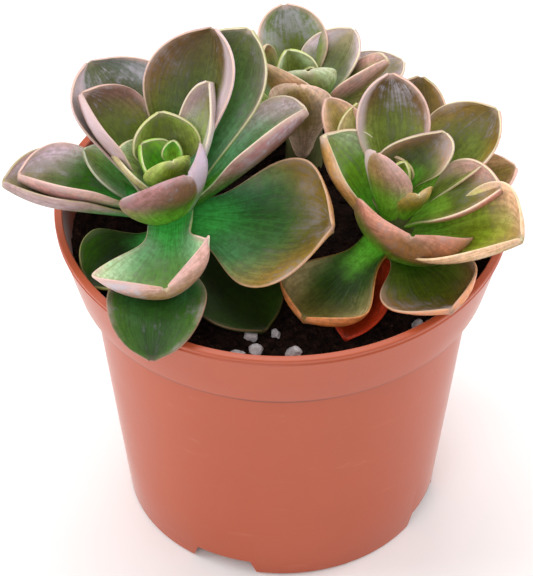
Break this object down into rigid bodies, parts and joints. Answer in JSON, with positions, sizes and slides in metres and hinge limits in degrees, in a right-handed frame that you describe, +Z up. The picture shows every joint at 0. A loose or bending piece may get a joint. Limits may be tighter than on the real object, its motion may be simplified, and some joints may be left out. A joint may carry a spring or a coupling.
{
  "type": "potted echeveria plant",
  "caption": "Clustered succulent rosettes of thick, cupped, spoon-shaped leaves growing in a round tapered plastic nursery pot with a banded rim, filled with peat.",
  "frame": {"origin": "middle of the whole outline seen from above, on the plane the pot stands on", "axes": "+Z up along the pot, +Y away from the camera of the picture, +X to its right"},
  "size_m": [0.1351, 0.1252, 0.1403],
  "materials": {
    "pot": "satin moulded terracotta-coloured plastic",
    "soil": "dark crumbly peat, stands in as fabric",
    "perlite": "rough white mineral grain",
    "leaf_left": "waxy green leaf with mauve end and pale margin",
    "leaf_right": "waxy olive leaf with mauve end and pale margin",
    "leaf_back": "waxy grey-green leaf with mauve end and pale margin"
  },
  "bodies": {
    "root": {"pot": "pot", "soil": "soil", "perlite_1": "perlite", "perlite_2": "perlite", "perlite_3": "perlite", "perlite_4": "perlite", "perlite_5": "perlite", "perlite_6": "perlite", "perlite_7": "perlite", "perlite_8": "perlite", "rosette_left": "leaf_left", "rosette_right": "leaf_right", "rosette_back": "leaf_back"}
  },
  "joints": []
}
